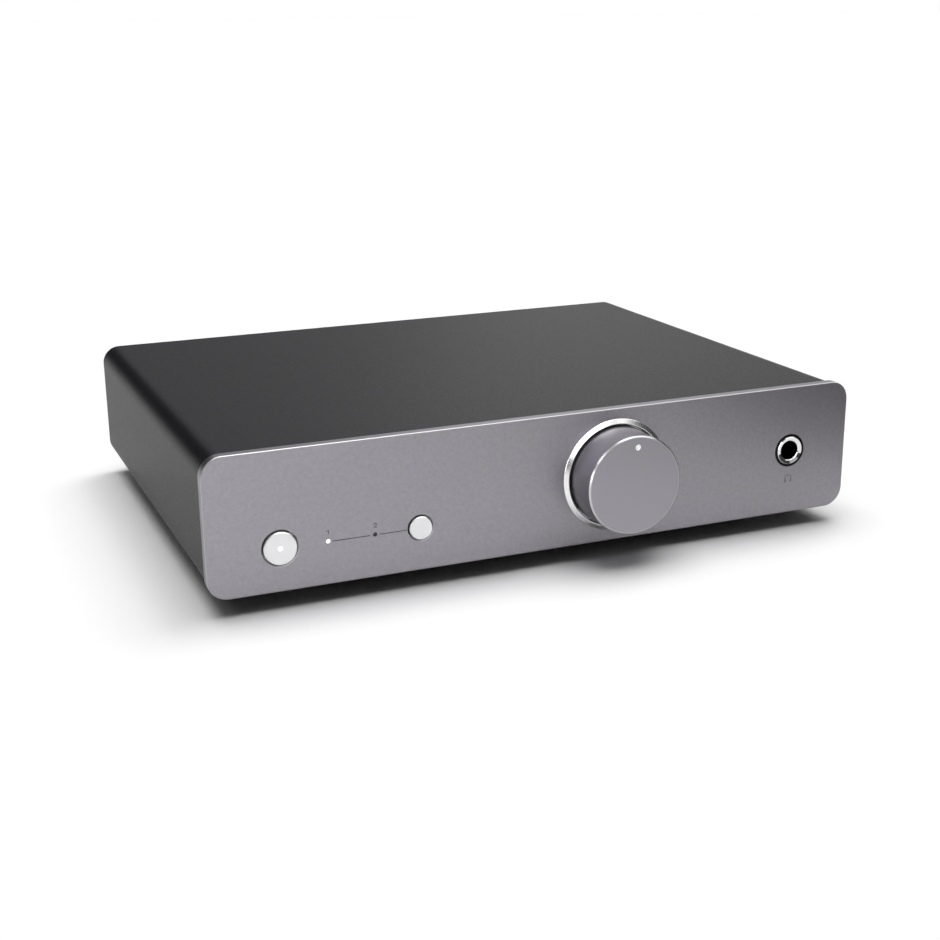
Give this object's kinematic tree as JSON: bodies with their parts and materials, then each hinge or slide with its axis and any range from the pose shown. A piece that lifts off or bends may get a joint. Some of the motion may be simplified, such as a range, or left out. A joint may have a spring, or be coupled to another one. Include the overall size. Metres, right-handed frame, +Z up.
{
  "type": "phono preamp",
  "caption": "Half-width tabletop phono preamp: grey metal front with volume knob, push buttons and headphone socket on a dark steel case with phono sockets behind.",
  "frame": {"origin": "under the middle of the overall box, on the surface that the feet stand on", "axes": "+X to the right as seen from the front, +Y towards the back, +Z up"},
  "size_m": [0.215, 0.1842, 0.048],
  "materials": {
    "plate_aluminium": "bead-blasted and anodised warm grey",
    "knob_aluminium": "turned, blasted and anodised warm grey",
    "polished_aluminium": "turned and polished",
    "button_silver": "spun silver",
    "case_coat": "dark satin powder coat",
    "panel_coat": "black satin powder coat",
    "zinc_steel": "zinc-plated sheet",
    "black_screws": "black zinc",
    "rubber_black": "moulded",
    "circuit_board": "solder mask",
    "black_plastic": "moulded",
    "pot_metal": "pressed can",
    "marker_bright": "bright-turned",
    "lit_guide": "clear, lit from behind",
    "dark_guide": "clear, unlit",
    "emitter": "clear resin",
    "nickel": "nickel-plated",
    "gold_contact": "gold-plated",
    "brass_post": "gold-plated",
    "white_plastic": "moulded",
    "red_plastic": "moulded",
    "lever_plastic": "moulded",
    "ferrite": "varnished",
    "heatsink_black": "black anodised",
    "capacitor_can": "sleeved can",
    "film_box": "dipped",
    "cable_grey": "flexible PVC"
  },
  "bodies": {
    "chassis": {"front_plate": "plate_aluminium", "knob_ring": "polished_aluminium", "plate_studs": "zinc_steel", "plate_nuts": "zinc_steel", "front_subframe": "zinc_steel", "case_cover": "case_coat", "base_tray": "panel_coat", "rear_panel": "panel_coat", "case_screws": "black_screws", "rear_screws": "black_screws", "feet": "rubber_black", "foot_screws": "black_screws", "front_board": "circuit_board", "front_board_spacers": "zinc_steel", "board_screws": "zinc_steel", "board_standoffs": "zinc_steel", "tact_switches": "black_plastic", "button_guides": "black_plastic", "front_leds": "emitter", "input_1_light_guide": "lit_guide", "input_2_light_guide": "dark_guide", "pot_body": "pot_metal", "pot_washer": "zinc_steel", "pot_nut": "zinc_steel", "headphone_jack": "black_plastic", "jack_bushing": "nickel", "jack_contacts": "nickel", "rca_housings": "black_plastic", "rca_shells": "nickel", "rca_insulators_white": "white_plastic", "rca_insulators_red": "red_plastic", "rca_contacts": "gold_contact", "ground_post": "brass_post", "balance_pot": "pot_metal", "slide_switch": "black_plastic", "mains_inlet": "black_plastic", "mains_pins": "nickel", "main_board": "circuit_board", "psu_board": "circuit_board", "transformer": "ferrite", "heatsink": "heatsink_black", "electrolytic_capacitors": "capacitor_can", "film_capacitors": "film_box", "amplifier_chips": "black_plastic", "relays": "black_plastic", "ribbon_cable": "cable_grey", "headphone_lead": "cable_grey"},
    "power_button": {"power_button": "button_silver", "power_light_guide": "lit_guide", "power_plunger": "black_plastic"},
    "select_button": {"select_button": "button_silver", "select_plunger": "black_plastic"},
    "volume_knob": {"volume_knob": "knob_aluminium", "knob_marker": "marker_bright", "knob_insert": "black_plastic", "pot_shaft": "zinc_steel"},
    "balance_knob": {"balance_knob": "black_plastic"},
    "slide_lever": {"slide_lever": "lever_plastic"},
    "ground_washer": {"ground_washer": "brass_post"},
    "ground_nut": {"ground_nut": "brass_post"}
  },
  "joints": [
    {"name": "power_press", "type": "slide", "parent": "chassis", "child": "power_button", "axis": [0, 1, 0], "range_m": [0, 0.0006], "stiffness_N_per_m": 600, "springref_m": -0.0006},
    {"name": "select_press", "type": "slide", "parent": "chassis", "child": "select_button", "axis": [0, 1, 0], "range_m": [0, 0.0006], "stiffness_N_per_m": 600, "springref_m": -0.0006},
    {"name": "volume_turn", "type": "hinge", "parent": "chassis", "child": "volume_knob", "pos_m": [0.022, -0.08, 0.02675], "axis": [0, 1, 0], "range_deg": [-153.8, 146.2]},
    {"name": "balance_turn", "type": "hinge", "parent": "chassis", "child": "balance_knob", "pos_m": [0.01, 0.08, 0.024], "axis": [0, 1, 0], "range_deg": [-140, 140]},
    {"name": "power_saver_slide", "type": "slide", "parent": "chassis", "child": "slide_lever", "axis": [-1, 0, 0], "range_m": [0, 0.0036]},
    {"name": "ground_washer_slide", "type": "slide", "parent": "chassis", "child": "ground_washer", "axis": [0, 1, 0], "range_m": [0, 0.0021]},
    {"name": "ground_nut_turn", "type": "hinge", "parent": "ground_washer", "child": "ground_nut", "pos_m": [0.057, 0.086, 0.024], "axis": [0, 1, 0], "range_deg": [0, 1080.2]}
  ],
  "couplings": [
    {"joint": "ground_nut_turn", "follows": "ground_washer_slide", "rad_per_m": 8976}
  ]
}
